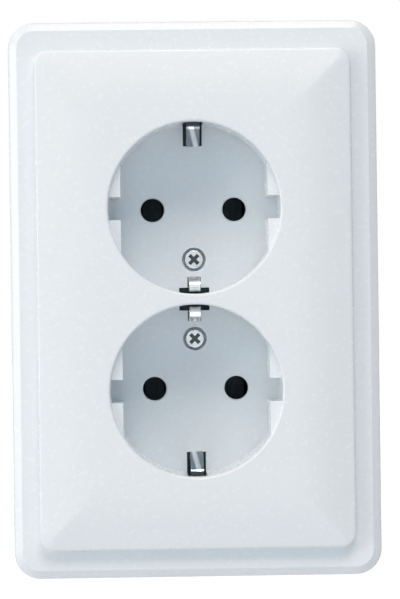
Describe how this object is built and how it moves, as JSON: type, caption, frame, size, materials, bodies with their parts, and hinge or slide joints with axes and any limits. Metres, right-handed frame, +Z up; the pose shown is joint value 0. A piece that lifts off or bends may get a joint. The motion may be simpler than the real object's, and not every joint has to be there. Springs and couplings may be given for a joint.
{
  "type": "double earthed wall socket",
  "caption": "White double earthed wall socket for a round flush box: stepped plate with a pillowed panel, stacked round plug wells, earth clips, steel frame and spreading claws.",
  "frame": {"origin": "midway between the two box screw slots, on the plane of the wall's face", "axes": "+Z up along the plate's height, +X to the right seen from the front, -Y out of the wall towards the user"},
  "size_m": [0.084, 0.0494, 0.127],
  "materials": {
    "cover_white": "glossy",
    "screw_steel": "bright plated",
    "zinc_plated_steel": "zinc plated",
    "nickel_plated_strip": "bright nickel",
    "spring_steel": "rolled",
    "brass": "rolled",
    "base_grey": "moulded matt",
    "rear_cover_grey": "moulded matt",
    "lever_orange": "moulded"
  },
  "bodies": {
    "socket": {"cover_plate": "cover_white", "cover_screw_upper": "screw_steel", "cover_screw_lower": "screw_steel", "cover_screw_inserts": "brass", "support_frame": "zinc_plated_steel", "frame_rivets": "screw_steel", "socket_base": "base_grey", "rear_cover": "rear_cover_grey", "rear_cover_screws": "screw_steel", "live_contact_bar": "brass", "neutral_contact_bar": "brass", "earth_strap": "brass", "earth_clip_upper_outer": "nickel_plated_strip", "earth_clip_upper_inner": "nickel_plated_strip", "earth_clip_lower_inner": "nickel_plated_strip", "earth_clip_lower_outer": "nickel_plated_strip", "clip_rivets": "screw_steel", "strap_rivets": "screw_steel", "clamp_spring_live": "spring_steel", "clamp_spring_earth": "spring_steel", "clamp_spring_neutral": "spring_steel", "claw_pin_left": "screw_steel", "claw_pin_right": "screw_steel"},
    "claw_left": {"claw_left": "zinc_plated_steel"},
    "claw_nut_left": {"claw_nut_left": "brass"},
    "claw_nut_right": {"claw_nut_right": "brass"},
    "claw_right": {"claw_right": "zinc_plated_steel"},
    "claw_screw_left": {"claw_screw_left": "screw_steel"},
    "claw_screw_right": {"claw_screw_right": "screw_steel"},
    "release_lever_earth": {"release_lever_earth": "lever_orange"},
    "release_lever_live": {"release_lever_live": "lever_orange"},
    "release_lever_neutral": {"release_lever_neutral": "lever_orange"}
  },
  "joints": [
    {"name": "claw_nut_left_travel", "type": "slide", "parent": "socket", "child": "claw_nut_left", "axis": [0, -1, 0], "range_m": [0, 0.00224]},
    {"name": "claw_screw_left_turn", "type": "hinge", "parent": "socket", "child": "claw_screw_left", "pos_m": [-0.0249, 0, -0.009], "axis": [0, 1, 0], "range_deg": [0, 1154.1]},
    {"name": "claw_left_swing", "type": "hinge", "parent": "socket", "child": "claw_left", "pos_m": [-0.0214, 0.0026, -0.009], "axis": [0, 0, 1], "range_deg": [0, 24]},
    {"name": "claw_nut_right_travel", "type": "slide", "parent": "socket", "child": "claw_nut_right", "axis": [0, -1, 0], "range_m": [0, 0.00224]},
    {"name": "claw_screw_right_turn", "type": "hinge", "parent": "socket", "child": "claw_screw_right", "pos_m": [0.0249, 0, 0.009], "axis": [0, 1, 0], "range_deg": [0, 1154.1]},
    {"name": "claw_right_swing", "type": "hinge", "parent": "socket", "child": "claw_right", "pos_m": [0.0214, 0.0026, 0.009], "axis": [0, 0, -1], "range_deg": [0, 24]},
    {"name": "release_lever_live_press", "type": "slide", "parent": "socket", "child": "release_lever_live", "axis": [0, -1, 0], "range_m": [0, 0.002], "stiffness_N_per_m": 500},
    {"name": "release_lever_earth_press", "type": "slide", "parent": "socket", "child": "release_lever_earth", "axis": [0, -1, 0], "range_m": [0, 0.002], "stiffness_N_per_m": 500},
    {"name": "release_lever_neutral_press", "type": "slide", "parent": "socket", "child": "release_lever_neutral", "axis": [0, -1, 0], "range_m": [0, 0.002], "stiffness_N_per_m": 500}
  ],
  "couplings": [
    {"joint": "claw_screw_left_turn", "follows": "claw_nut_left_travel", "rad_per_m": 8976.3},
    {"joint": "claw_left_swing", "follows": "claw_nut_left_travel", "rad_per_m": 186.66},
    {"joint": "claw_screw_right_turn", "follows": "claw_nut_right_travel", "rad_per_m": 8976.3},
    {"joint": "claw_right_swing", "follows": "claw_nut_right_travel", "rad_per_m": 186.66}
  ]
}
